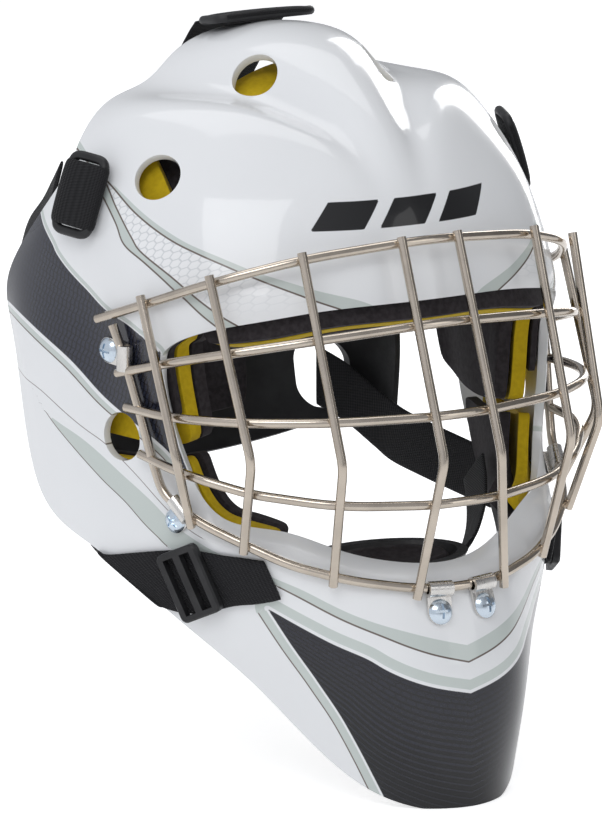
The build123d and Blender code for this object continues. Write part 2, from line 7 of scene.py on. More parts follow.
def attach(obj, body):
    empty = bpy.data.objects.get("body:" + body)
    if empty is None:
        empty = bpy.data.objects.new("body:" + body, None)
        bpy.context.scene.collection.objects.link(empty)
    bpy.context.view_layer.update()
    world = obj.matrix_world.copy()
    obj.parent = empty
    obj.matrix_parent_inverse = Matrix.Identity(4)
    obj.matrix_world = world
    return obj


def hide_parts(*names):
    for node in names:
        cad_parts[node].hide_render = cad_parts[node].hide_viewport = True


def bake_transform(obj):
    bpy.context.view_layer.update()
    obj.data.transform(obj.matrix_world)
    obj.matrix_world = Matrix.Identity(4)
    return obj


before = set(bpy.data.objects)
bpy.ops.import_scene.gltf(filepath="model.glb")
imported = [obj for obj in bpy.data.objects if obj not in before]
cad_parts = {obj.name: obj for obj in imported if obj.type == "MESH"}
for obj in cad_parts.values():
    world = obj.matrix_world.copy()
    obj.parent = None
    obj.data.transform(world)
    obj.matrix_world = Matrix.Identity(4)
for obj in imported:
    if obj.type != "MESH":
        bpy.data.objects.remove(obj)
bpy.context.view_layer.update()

# Goalie mask, in metres. The skin formula works in millimetres: stations run round the
# eye opening (u), steps run from the opening to the rear or bottom rim (v).
MM = 0.001

# ---------------------------------------------------------------- skin formula
SKIN_STATIONS = np.array([
    # middle of the forehead, over the crown
    [(0, -94.5, 211.5), (0, -91, 222), (0, -82, 243), (0, -66.5, 271),
     (0, -37, 297), (0, 5, 313.5), (0, 52, 309)],
    [(24, -92.3, 211.2), (24.5, -89, 221.5), (25, -80, 242), (26, -63, 269),
     (28, -34, 292.5), (31, 4, 307), (30, 50, 304.5)],
    [(48, -85, 209.5), (49, -82, 219.5), (50, -72, 239), (51, -55, 263),
     (54, -27, 285), (58, 6, 294), (56, 44, 296)],
    [(70, -75, 206), (71.5, -72, 216), (73, -60, 234), (75.5, -43, 254),
     (79, -14, 274), (82, 11, 283), (80, 37, 284.5)],
    [(88, -58.5, 200.5), (90, -55, 209), (92, -44, 224), (95, -28, 240),
     (97.5, -8, 255), (99, 11, 264), (98, 28, 268)],
    # brow corner, back to the temple
    [(97.5, -44, 192), (100, -39, 197), (102.5, -29, 207), (104.5, -14, 220),
     (108, 3, 233), (110, 17, 245), (108.5, 25, 253)],
    [(97, -40.5, 180), (99.5, -35.5, 183), (102.5, -20, 189), (106, 0, 198),
     (112, 22, 206), (114, 44, 212), (112, 61, 212)],
    [(93.5, -43.5, 158), (97, -38, 158), (101, -22, 160), (106.5, 0, 165),
     (113, 22, 170), (115, 42, 174), (112, 58, 177)],
    # lower corner of the opening, back to the jaw
    [(88, -49, 136), (91.5, -44, 131.5), (97, -30, 128), (104, -12, 125),
     (110, 5, 122), (112.5, 22, 121), (112, 39, 120.5)],
    [(78, -60, 119.5), (85.5, -59.5, 113), (89.5, -50, 108), (95, -37.5, 104),
     (100, -25, 101), (104.5, -13, 99), (107.5, -2, 99.5)],
    [(60, -77, 115.5), (67.5, -84, 107), (71, -80.5, 97.5), (75, -72, 88),
     (80, -62.5, 81.5), (85.5, -51, 76.5), (91, -40, 75)],
    [(40, -89.5, 107.5), (45, -100.5, 100), (48.5, -100.5, 88.5), (52, -97, 74),
     (56, -91, 62), (60, -81, 51), (64.5, -68, 44)],
    [(20, -100.5, 102.5), (22.5, -112.5, 97), (24.5, -117, 84.5), (28, -119.5, 66.5),
     (31, -119, 46), (34, -113.5, 25), (37.5, -105, 8)],
    # middle of the chin
    [(0, -105.5, 101), (0, -115, 96), (0, -121, 84), (0, -126, 66),
     (0, -128.5, 45), (0, -129.3, 22), (0, -129, -1.5)],
], dtype=float)
LAST_STATION = len(SKIN_STATIONS) - 1
LAST_STEP = SKIN_STATIONS.shape[1] - 1
RING = 2 * LAST_STATION
# Valleys beside the crown's middle: |x|, depth and width at every step of y.
VALLEY_START_Y = -80
VALLEY_STEP = 20
VALLEY_CENTRE = np.array([10.0, 16, 25, 35, 45, 53, 58, 62])
VALLEY_DEPTH = np.array([0.0, 4, 9, 11, 10, 8, 6, 5])
VALLEY_WIDTH = np.array([9.0, 13, 18, 22, 25, 28, 30, 31])
HEAD_CENTRE = np.array([0.0, 0.0, 190.0])
HANDS = ((1, "left"), (-1, "right"))
SHELL_WALL = 4.0
LIP_STEP = 1.5
# Vents of the left side, near the skin.
TOP_VENT = (31, -6, 297)
TEMPLE_VENT = (86, -19, 259.5)
SIDE_VENT = (103.5, -15.5, 150)
VENT_RADIUS = 10.4


def spline_weights(count, places, closed):
    """Rows of weights: a cubic spline through `count` equally spaced stations."""
    eye = np.eye(count)
    bend = 6 * (np.roll(eye, 1, 1) - 2 * eye + np.roll(eye, -1, 1))
    system = 4 * eye + np.roll(eye, 1, 1) + np.roll(eye, -1, 1)
    if not closed:
        system[[0, -1]] = eye[[0, -1]]
        bend[[0, -1]] = 0
    curvature = np.linalg.solve(system, bend)
    start = np.floor(places).astype(int)
    if not closed:
        start = np.clip(start, 0, count - 2)
    s = (np.asarray(places) - start)[:, None]
    start, after = start % count, (start + 1) % count
    ends = (1 - s) * eye[start] + s * eye[after]
    sag = ((1 - s) ** 3 - (1 - s)) * curvature[start] + (s ** 3 - s) * curvature[after]
    return ends + sag / 6


MIRRORED = SKIN_STATIONS[LAST_STATION - 1:0:-1] * np.array([-1, 1, 1])
SKIN_RING = np.concatenate([SKIN_STATIONS, MIRRORED])


def outer_skin(u_weights, v_weights, paired, carved=True):
    """Skin points before any inset; paired gives one point per (u, v) pair."""
    rule = "ai,ijk,aj->ak" if paired else "ai,ijk,bj->abk"
    points = np.einsum(rule, u_weights, SKIN_RING, v_weights)
    if not carved:
        return points
    stations = (points[..., 1] - VALLEY_START_Y) / VALLEY_STEP
    rows = spline_weights(len(VALLEY_CENTRE), stations.ravel().clip(0, 7), False)
    centre = (rows @ VALLEY_CENTRE).reshape(stations.shape)
    depth = (rows @ VALLEY_DEPTH).reshape(stations.shape)
    width = (rows @ VALLEY_WIDTH).reshape(stations.shape)
    depth = depth * np.exp(-2.2 * ((np.abs(points[..., 0]) - centre) / width) ** 2)
    depth = depth / (1 + np.exp((245 - points[..., 2]) / 5))
    inward = HEAD_CENTRE - points
    inward = inward / np.linalg.norm(inward, axis=-1, keepdims=True)
    return points + inward * depth[..., None]


def skin(u, v, inset=0.0, paired=False, carved=True):
    """Points on the skin in mm. inset goes into the wall; a negative one comes out of it."""
    u, v = np.atleast_1d(u).astype(float), np.atleast_1d(v).astype(float)

    def at(du, dv):
        return outer_skin(
            spline_weights(RING, u + du, True), spline_weights(LAST_STEP + 1, v + dv, False), paired, carved
        )

    points = at(0, 0)
    if np.all(np.asarray(inset) == 0):
        return points
    step = 0.01
    normal = np.cross(at(step, 0) - at(-step, 0), at(0, step) - at(0, -step))
    normal = normal / np.linalg.norm(normal, axis=-1, keepdims=True)
    return points - normal * np.asarray(inset)[..., None]


def skin_at(u, v, inset=0.0):
    """One point for each (u, v) pair."""
    return skin(u, v, inset, paired=True)


def liner_surface(u, v, inset, carved=True):
    """Points of the liner: they follow the skin, but run straight behind the rolled lip."""
    inset = np.broadcast_to(np.asarray(inset, float), u.shape)
    behind = skin(u, np.maximum(v, LIP_STEP), inset, True, carved)
    foot = skin(u, np.full(len(u), LIP_STEP), 0.0, True, carved)
    rim = skin(u, np.zeros(len(u)), 0.0, True, carved)
    share = np.clip(1 - v / LIP_STEP, 0, None)[:, None]
    return behind + (rim - foot) * share


def skin_place(target):
    """The (u, v) of the left skin point nearest to a target."""
    best_u, best_v = LAST_STATION / 2, LAST_STEP / 2
    for spread in (LAST_STATION / 2, 0.6, 0.05):
        u = np.clip(np.linspace(best_u - spread, best_u + spread, 81), 0, LAST_STATION)
        v = np.clip(np.linspace(best_v - spread, best_v + spread, 81), 0, LAST_STEP)
        gap = np.linalg.norm(skin(u, v) - np.array(target), axis=-1)
        row, column = np.unravel_index(gap.argmin(), gap.shape)
        best_u, best_v = u[row], v[column]
    return best_u, best_v


def skin_frame(target, side=1):
    """Point, outward normal, on the left (side 1) or right (side -1) skin."""
    u, v = skin_place(target)
    point = skin(u, v)[0, 0]
    outward = point - skin(u, v, 1.0)[0, 0]
    mirror = np.array([side, 1, 1])
    return point * mirror, outward * mirror


# ---------------------------------------------------------------- mesh helpers
def round_edges(piece, radius, angle):
    """Bevel the edges that are sharper than an angle in degrees."""
    edge = piece.modifiers.new("edge", "BEVEL")
    edge.width, edge.segments = radius * MM, 3
    edge.limit_method, edge.angle_limit = "ANGLE", math.radians(angle)
    return edge


def make_piece(name, points_mm, faces, material, bevel=0.0, attributes=None):
    """A smooth-shaded mesh object from points in mm."""
    mesh = bpy.data.meshes.new(name)
    mesh.from_pydata((np.asarray(points_mm) * MM).tolist(), [], [list(map(int, f)) for f in faces])
    mesh.validate()
    piece = bpy.data.objects.new(name, mesh)
    bpy.context.scene.collection.objects.link(piece)
    mesh.materials.append(material)
    mesh.shade_smooth()
    for key, values in (attributes or {}).items():
        layer = mesh.attributes.new(key, "FLOAT", "POINT")
        layer.data.foreach_set("value", np.asarray(values, dtype=np.float32))
    if bevel:
        round_edges(piece, bevel, 40).harden_normals = True
    return piece


def place(piece, body, nodes):
    """Put a piece on a body, in place of some CAD nodes."""
    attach(piece, body)
    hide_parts(*nodes)


def grid_faces(rows, columns, offset=0, flip=False, closed=False):
    """Quads of a rows x columns grid of vertices."""
    faces = []
    last = columns if closed else columns - 1
    for i in range(rows - 1):
        for j in range(last):
            a, b = offset + i * columns + j, offset + i * columns + (j + 1) % columns
            c, d = b + columns, a + columns
            faces.append((a, d, c, b) if flip else (a, b, c, d))
    return faces


def capped_rings(rings, columns):
    """Faces of a tube of rings with both of its ends closed."""
    faces = grid_faces(rings, columns, closed=True)
    faces.append(list(range(columns))[::-1])
    faces.append([(rings - 1) * columns + k for k in range(columns)])
    return faces


def slab(top, bottom):
    """Closed solid between two grids of points (rows, columns, 3)."""
    rows, columns = top.shape[:2]
    count = rows * columns
    faces = grid_faces(rows, columns) + grid_faces(rows, columns, count, flip=True)
    border = [(0, j) for j in range(columns)] + [(i, columns - 1) for i in range(1, rows)]
    border += [(rows - 1, j) for j in range(columns - 2, -1, -1)] + [(i, 0) for i in range(rows - 2, 0, -1)]
    ring = [i * columns + j for i, j in border]
    for a, b in zip(ring, ring[1:] + ring[:1]):
        faces.append((b, a, a + count, b + count))
    return np.concatenate([top.reshape(-1, 3), bottom.reshape(-1, 3)]), faces


def circle_angles(steps):
    """Evenly spaced angles round a circle."""
    return np.linspace(0, 2 * math.pi, steps, endpoint=False)


def squared(wave, power):
    """A sine or cosine made squarer by a power below 1."""
    return np.sign(wave) * np.abs(wave) ** power


def catmull(points, steps):
    """A smooth line through points, `steps` samples to each span."""
    points = np.array(points, float)
    padded = np.concatenate([[2 * points[0] - points[1]], points, [2 * points[-1] - points[-2]]])
    line = []
    for i in range(1, len(padded) - 2):
        a, b, c, d = padded[i - 1:i + 3]
        for t in np.arange(steps) / steps:
            square, cube = 2 * a - 5 * b + 4 * c - d, 3 * b - a - 3 * c + d
            line.append(0.5 * (2 * b + (c - a) * t + square * t ** 2 + cube * t ** 3))
    line.append(points[-1])
    return np.array(line)


# ---------------------------------------------------------------- node helpers
class Nodes:
    """Short ways to build a node material."""

    def __init__(self, name, color=(0.5, 0.5, 0.5), roughness=0.5, metallic=0.0):
        self.material = bpy.data.materials.new(name)
        self.material.use_nodes = True
        self.tree = self.material.node_tree
        self.shader = self.tree.nodes["Principled BSDF"]
        self.set("Base Color", (*color, 1))
        self.set("Roughness", roughness)
        self.set("Metallic", metallic)

    def set(self, name, value):
        self.shader.inputs[name].default_value = value

    def link(self, source, target):
        self.tree.links.new(source, target)

    def add(self, kind):
        return self.tree.nodes.new(kind)

    def put(self, socket, value):
        if isinstance(value, bpy.types.NodeSocket):
            self.link(value, socket)
        elif isinstance(value, tuple) and len(value) == 3 and socket.type == "RGBA":
            socket.default_value = (*value, 1)
        else:
            socket.default_value = value

    def math(self, operation, a, b=0.0, c=0.0):
        node = self.add("ShaderNodeMath")
        node.operation = operation
        for socket, value in zip(node.inputs, (a, b, c)):
            self.put(socket, value)
        return node.outputs[0]

    def times(self, a, b):
        return self.math("MULTIPLY", a, b)

    def attribute(self, name):
        node = self.add("ShaderNodeAttribute")
        node.attribute_name = name
        return node.outputs["Fac"]

    def position(self):
        """Object coordinates in millimetres, as x, y and z sockets."""
        node = self.add("ShaderNodeTexCoord")
        split = self.add("ShaderNodeSeparateXYZ")
        self.link(node.outputs["Object"], split.inputs[0])
        return [self.times(s, 1000.0) for s in split.outputs]

    def noise(self, scale, detail=3.0, stretch=(1, 1, 1)):
        """Noise over object coordinates; scale is in features per metre."""
        coordinates = self.add("ShaderNodeTexCoord")
        mapping = self.add("ShaderNodeMapping")
        mapping.inputs["Scale"].default_value = stretch
        node = self.add("ShaderNodeTexNoise")
        node.inputs["Scale"].default_value = scale
        node.inputs["Detail"].default_value = detail
        self.link(coordinates.outputs["Object"], mapping.inputs[0])
        self.link(mapping.outputs[0], node.inputs["Vector"])
        return node.outputs["Fac"]

    def range(self, value, low, high, to_low=0.0, to_high=1.0):
        node = self.add("ShaderNodeMapRange")
        for socket, given in zip(node.inputs, (value, low, high, to_low, to_high)):
            self.put(socket, given)
        return node.outputs[0]

    def mix(self, mask, below, above):
        node = self.add("ShaderNodeMix")
        node.data_type = "RGBA"
        self.put(node.inputs[0], mask)
        self.put(node.inputs[6], below)
        self.put(node.inputs[7], above)
        return node.outputs[2]

    def bump(self, height, strength, distance_mm):
        node = self.add("ShaderNodeBump")
        node.inputs["Strength"].default_value = strength
        node.inputs["Distance"].default_value = distance_mm * MM
        self.link(height, node.inputs["Height"])
        self.link(node.outputs[0], self.shader.inputs["Normal"])
        return node

    def inside(self, field, edge=0.0, soft=0.12):
        """1 where the field (mm) is above the edge."""
        return self.range(field, edge - soft, edge + soft)

    def between(self, field, low, high):
        return self.times(self.inside(field, low), self.invert(self.inside(field, high)))

    def invert(self, mask):
        return self.math("SUBTRACT", 1.0, mask)

    def rows(self, value, period):
        """0.5 at each row's edges and 0 in its middle."""
        share = self.math("FRACT", self.math("DIVIDE", value, period))
        return self.math("ABSOLUTE", self.math("SUBTRACT", share, 0.5))

    def paint(self, color):
        """Send a colour to the base colour."""
        self.link(color, self.shader.inputs["Base Color"])

    def mottle(self, scale, detail, color, other, low=0.3, high=0.7):
        """A noisy mix of two colours as the base colour."""
        self.paint(self.mix(self.range(self.noise(scale, detail), low, high), color, other))

    def roughen(self, noise, low, high, from_low=0.3, from_high=0.7):
        """Roughness that follows a noise."""
        self.link(self.range(noise, from_low, from_high, low, high), self.shader.inputs["Roughness"])

    def from_cell(self, value, size, shift, period):
        """How far a coordinate, in units of size, lies from the middle of its repeating cell."""
        shifted = self.math("SUBTRACT", self.math("DIVIDE", value, size), shift)
        wrapped = self.math("FLOORED_MODULO", shifted, period)
        return self.math("ABSOLUTE", self.math("SUBTRACT", wrapped, period / 2))

    def hexagons(self, x, y, size):
        """0 in the middle of each hexagon and 0.5 on its edge, over mm coordinates."""
        tall = math.sqrt(3)
        found = []
        for shift_x, shift_y in ((0.0, 0.0), (0.5, tall / 2)):
            a, b = self.from_cell(x, size, shift_x, 1.0), self.from_cell(y, size, shift_y, tall)
            slope = self.math("ADD", self.times(a, 0.5), self.times(b, tall / 2))
            found.append(self.math("MAXIMUM", a, slope))
        return self.math("MINIMUM", *found)


WHITE = (0.83, 0.84, 0.85)
SAGE = (0.56, 0.61, 0.585)
SLATE = (0.026, 0.029, 0.047)
INK = (0.006, 0.006, 0.008)
PINLINE = (0.13, 0.10, 0.085)

# The pinlines' fields and half widths in mm.
PINLINES = [
    ("pin_upper", 0.36), ("pin_b", 0.36), ("pin_a", 0.36),
    ("pin_jaw", 0.36), ("pin_thin", 0.16), ("pin_wedge", 0.2),
]

# The dark panels' borders: a panel's field, from and to in mm, the run beside it, a colour.
BORDERS = [
    ("ear", -2.6, -0.7, 1, SAGE), ("ear", -4.1, -1.7, 2, SAGE), ("ear", -4.7, -4.1, 2, PINLINE),
    ("panel", -5.6, -1.4, 1, SAGE), ("panel", -4.6, -1.0, 2, SAGE), ("panel", -5.2, -4.6, 2, PINLINE),
]


def shell_paint():
    """Glossy white with sage bands, pinlines and charcoal panels."""
    n = Nodes("shell_paint", WHITE, 0.22)
    color = n.mix(n.range(n.noise(9, 2), 0.3, 0.7), WHITE, (0.80, 0.812, 0.825))
    x, y, z = n.position()

    # honeycomb under the upper band
    honey = n.attribute("honey")
    cell = n.hexagons(n.math("ADD", y, n.times(z, 0.35)), z, 3.6)
    lines = n.times(n.inside(cell, 0.43, 0.03), n.inside(honey))
    fade = n.times(lines, n.range(n.attribute("skin_v"), 0.3, 2.2))
    color = n.mix(n.times(n.inside(honey), 0.6), color, (0.88, 0.885, 0.89))
    color = n.mix(n.times(fade, 0.75), color, (0.58, 0.60, 0.62))

    for name in ("sage_upper", "sage_stripe", "sage_jaw"):
        color = n.mix(n.inside(n.attribute(name)), color, SAGE)
    for name, half in PINLINES:
        line = n.invert(n.inside(n.math("ABSOLUTE", n.attribute(name)), half, 0.12))
        color = n.mix(line, color, PINLINE)

    for name, low, high, run, border_color in BORDERS:
        second = n.inside(n.attribute(name + "_run"), 1.5, 0.2)
        beside = second if run == 2 else n.invert(second)
        color = n.mix(n.times(n.between(n.attribute(name), low, high), beside), color, border_color)

    # ear panel: slate with fine dark scales
    wave = n.math("SINE", n.times(z, 1.1))
    across = n.math("ADD", n.times(y, 0.80), n.times(z, 0.30))
    across = n.math("ADD", across, n.times(wave, 0.22))
    scale = n.rows(across, 1.9)
    along = n.math("FRACT", n.math("DIVIDE", n.math("SUBTRACT", z, n.times(y, 0.35)), 3.1))
    dark = n.math("MAXIMUM", n.inside(scale, 0.33, 0.08), n.inside(along, 0.86, 0.05))
    ear_color = n.mix(n.times(dark, 0.8), SLATE, INK)
    color = n.mix(n.inside(n.attribute("ear")), color, ear_color)

    # chin panel: chevron lines that thin out towards the bottom
    depth = n.attribute("panel_depth")
    row = n.rows(depth, 3.7)
    thin = n.range(depth, 0.0, 62.0, 0.40, 0.06)
    bands = n.invert(n.range(n.math("SUBTRACT", row, thin), -0.03, 0.03))
    mesh = n.hexagons(x, depth, 3.7)
    mesh_lines = n.times(n.inside(mesh, 0.42, 0.03), n.range(depth, 0.0, 42.0, 0.85, 0.15))
    slate = n.mix(n.range(depth, 0.0, 70.0), (0.013, 0.014, 0.024), (0.020, 0.022, 0.032))
    panel_color = n.mix(bands, INK, slate)
    panel_color = n.mix(mesh_lines, panel_color, INK)
    color = n.mix(n.inside(n.attribute("panel")), color, panel_color)

    # generic three-bar mark on the forehead
    color = n.mix(n.inside(n.attribute("badge")), color, (0.012, 0.012, 0.013))

    n.paint(color)
    n.roughen(n.noise(60, 4), 0.18, 0.27, 0.2, 0.8)
    n.set("Coat Weight", 0.62)
    n.set("Coat Roughness", 0.04)
    n.set("Specular IOR Level", 0.25)
    n.bump(n.noise(95, 1), 0.05, 0.5)
    return n.material


def plain_gel():
    """The shell's unpainted inside and rims."""
    n = Nodes("shell_gel", (0.80, 0.80, 0.79), 0.33)
    n.mottle(40, 4, (0.82, 0.82, 0.81), (0.74, 0.74, 0.73))
    n.set("Coat Weight", 0.4)
    n.bump(n.noise(300, 3), 0.12, 0.3)
    return n.material


def metal(name, color, roughness, grain):
    """Bare or plated metal with fine drawing marks."""
    n = Nodes(name, color, roughness, 1.0)
    darker = tuple(c * 0.80 for c in color)
    n.mottle(70, 4, color, darker, 0.35, 0.75)
    n.roughen(n.noise(900, 3, (1, 1, 0.15)), roughness * 0.75, roughness * 1.4)
    n.bump(n.noise(1800, 2, (1, 1, 0.08)), grain, 0.05)
    return n.material


def foam(name, color, dark, pores=0.35):
    """Closed-cell foam: fine pores and a soft mottle."""
    n = Nodes(name, color, 0.82)
    n.mottle(420, 5, color, dark, 0.38, 0.62)
    n.set("Sheen Weight", 0.04)
    n.set("Specular IOR Level", 0.22)
    n.bump(n.math("ADD", n.noise(2400, 3), n.times(n.noise(220, 3), 1.5)), pores, 0.25)
    return n.material


def plastic(name, color, roughness=0.42):
    """Moulded plastic with a fine spark-eroded grain."""
    n = Nodes(name, color, roughness)
    n.mottle(120, 3, color, tuple(c * 1.5 + 0.004 for c in color))
    n.roughen(n.noise(700, 3), roughness - 0.06, roughness + 0.1)
    n.set("Specular IOR Level", 0.35)
    n.bump(n.noise(2600, 2), 0.18, 0.12)
    return n.material


def weave(name, color, rib, strength=0.9):
    """Woven strap: ribs across its length and a broken twill, coloured by height as painted shade in the
    hollows and painted highlight on the ribs.
    """
    n = Nodes(name, color, 0.78)
    along, across = n.attribute("along"), n.attribute("across")
    rows = n.math("SINE", n.times(along, 2 * math.pi / rib))
    slanted = n.math("ADD", across, n.times(along, 0.5))
    twill = n.math("SINE", n.times(slanted, 2 * math.pi / 1.3))
    height = n.math("ADD", n.times(rows, 0.5), n.times(twill, 0.35))
    height = n.math("ADD", height, n.times(n.noise(1500, 2), 0.5))
    # lighter where the weave stands high: painted highlight on the ribs and painted shade in the hollows
    # between them
    light = tuple(min(1.0, c * 2.0 + 0.006) for c in color)
    n.paint(n.mix(n.range(height, -0.6, 1.3), color, light))
    n.set("Sheen Weight", 0.06)
    n.set("Specular IOR Level", 0.22)
    n.set("Sheen Roughness", 0.4)
    n.bump(height, strength, 0.28)
    return n.material


PAINT = shell_paint()
GEL = plain_gel()
WIRE = metal("cage_nickel", (0.60, 0.53, 0.45), 0.16, 0.05)
SHEET = metal("clip_sheet", (0.78, 0.76, 0.73), 0.24, 0.08)
ZINC = metal("zinc_plate", (0.68, 0.77, 0.86), 0.20, 0.06)
YELLOW = foam("foam_mustard", (0.57, 0.40, 0.008), (0.50, 0.345, 0.006), 0.25)
BLACK_FOAM = foam("foam_charcoal", (0.022, 0.018, 0.020), (0.036, 0.031, 0.034))
PLASTIC = plastic("nylon_black", (0.014, 0.014, 0.015))
WEBBING = weave("webbing_nylon", (0.008, 0.008, 0.009), 1.7)
ELASTIC = weave("elastic_knit", (0.009, 0.009, 0.010), 1.1, strength=0.7)

# ---------------------------------------------------------------- paint outlines
# Outlines on the skin as (|u|, v). A run is one smooth edge; edges that lie wholly beyond
# the rims or beyond the middle line only close the outline.
UPPER_EDGE = [
    (3.80, 6.4), (4.02, 5.35), (4.10, 4.68), (4.01, 3.58), (3.80, 2.79), (3.50, 2.22), (2.91, 1.60),
    (2.20, 1.09), (1.34, 0.37), (0.9, -0.3),
]
PIN_UPPER = [
    (4.05, 6.4), (4.14, 5.34), (4.15, 4.78), (4.12, 4.37), (4.08, 3.51), (3.86, 2.69), (3.54, 2.11),
    (3.11, 1.62), (2.83, 1.37), (2.24, 0.82), (1.70, 0.09), (1.5, -0.3),
]
LINE_B = [
    (4.13, 5.0), (4.15, 4.45), (4.28, 3.87), (4.36, 3.19), (4.34, 2.74), (4.02, 1.66), (3.71, 0.83),
    (3.41, 0.0), (3.3, -0.3),
]
LINE_A = [
    (4.16, 5.2), (4.30, 4.60), (4.35, 4.30), (4.45, 3.65), (4.54, 3.21), (4.41, 2.62), (4.19, 1.73),
    (4.06, 1.33), (3.76, 0.17), (3.7, -0.3),
]
EAR_TOP = [
    (5.36, 6.4), (5.42, 5.43), (5.48, 4.71), (5.54, 4.37), (5.64, 3.49), (5.70, 2.75), (5.46, 1.83),
    (5.29, 0.22),
]
EAR_FRONT = [(5.29, 0.22), (6.22, 0.14), (6.78, 0.14), (7.34, 0.14), (7.85, 0.1)]
EAR_LOW = [
    (6.46, 6.4), (6.50, 5.67), (6.59, 4.54), (6.72, 3.62), (6.93, 2.85), (7.04, 2.26), (7.17, 1.62),
    (7.39, 0.96), (7.85, 0.1),
]
THIN_LINE = [
    (7.15, 6.4), (7.17, 5.5), (7.19, 4.47), (7.36, 3.41), (7.50, 2.78), (7.82, 2.18), (8.36, 1.69),
    (8.95, 1.30),
]
JAW_TOP = [
    (7.34, 4.53), (7.47, 3.47), (7.73, 2.72), (8.12, 2.11), (8.68, 1.75), (9.01, 1.62), (9.6, 1.72),
    (10.09, 1.89), (10.54, 1.98), (11.28, 2.26), (12.01, 2.47), (12.5, 2.65), (13.0, 2.85),
]
JAW_LOW = [
    (7.34, 4.53), (7.56, 3.81), (7.82, 3.25), (8.16, 2.79), (8.66, 2.66), (8.94, 2.74), (9.6, 2.45),
    (10.17, 2.14), (10.59, 2.26), (11.13, 2.45), (11.65, 2.62), (12.03, 2.78), (12.5, 2.99),
    (13.0, 3.2),
]
PANEL_TOP = [
    (10.24, 3.02), (10.76, 3.11), (11.10, 3.17), (11.52, 3.22), (11.80, 3.35), (12.14, 3.49),
    (12.58, 3.67), (13.0, 3.83),
]
PANEL_SIDE = [
    (10.24, 3.02), (10.76, 3.88), (11.17, 4.41), (11.54, 4.84), (11.86, 5.34), (12.12, 5.89),
    (12.3, 6.4),
]
BEYOND_CHIN = 14.0
SAMPLES = 12
RUN_START, RUN_END = -0.35, 6.45     # v just past the two rims


def line_distance(points, runs, places=None):
    """Distance in mm from each point to the runs (on the skin), and which run is nearest.

    Given the points' (u, v) places, the distance is negative on one side of the run.
    """
    best = np.full(len(points), 1e9)
    nearest = np.zeros(len(points))
    side = np.ones(len(points))
    for number, run in enumerate(runs):
        line = catmull(run, SAMPLES)
        line = line[(line[:, 1] > RUN_START) & (line[:, 1] < RUN_END)]
        at = skin_at(line[:, 0], line[:, 1])
        for k, (a, b) in enumerate(zip(at[:-1], at[1:])):
            span = b - a
            share = np.clip(((points - a) @ span) / max(span @ span, 1e-9), 0, 1)
            gap = np.linalg.norm(points - a - share[:, None] * span, axis=1)
            closer = gap < best
            best[closer], nearest[closer] = gap[closer], number + 1
            if places is not None:
                step = line[k + 1] - line[k]
                turn = step[0] * (places[1] - line[k, 1]) - step[1] * (places[0] - line[k, 0])
                side[closer] = np.where(turn[closer] < 0, -1.0, 1.0)
    return best * side, nearest


def is_inside(u, v, outline):
    """Even-odd test of (u, v) places against a closed outline."""
    result = np.zeros(len(u), bool)
    for (u1, v1), (u2, v2) in zip(outline, np.roll(outline, -1, axis=0)):
        crosses = (v1 > v) != (v2 > v)
        safe = v2 - v1 if abs(v2 - v1) > 1e-12 else 1e-12
        result ^= crosses & (u < (u2 - u1) * (v - v1) / safe + u1)
    return result


def region(points, u, v, runs, outline_runs):
    """Signed distance in mm (positive inside) and the nearest run's number."""
    curves = [catmull(run, SAMPLES) if len(run) > 2 else np.array(run, float) for run in outline_runs]
    outline = np.concatenate(curves)
    distance, nearest = line_distance(points, runs)
    return np.where(is_inside(u, v, outline), distance, -distance), nearest


# ---------------------------------------------------------------- shell
COLUMNS_PER_STATION = 26
SHELL_ROWS = 170
STEP_LENGTH = 31.0         # mean mm from one step of v to the next on the chin
RIM_ROUNDING = 1.1
VENT_BLEND = 2.3           # the rings around a vent that are eased, in vent half sizes
VENT_SQUARE = 0.8          # half size of the block of faces removed, in vent radii
BADGE_HEIGHT = 247
BADGE_SLANT = 0.9


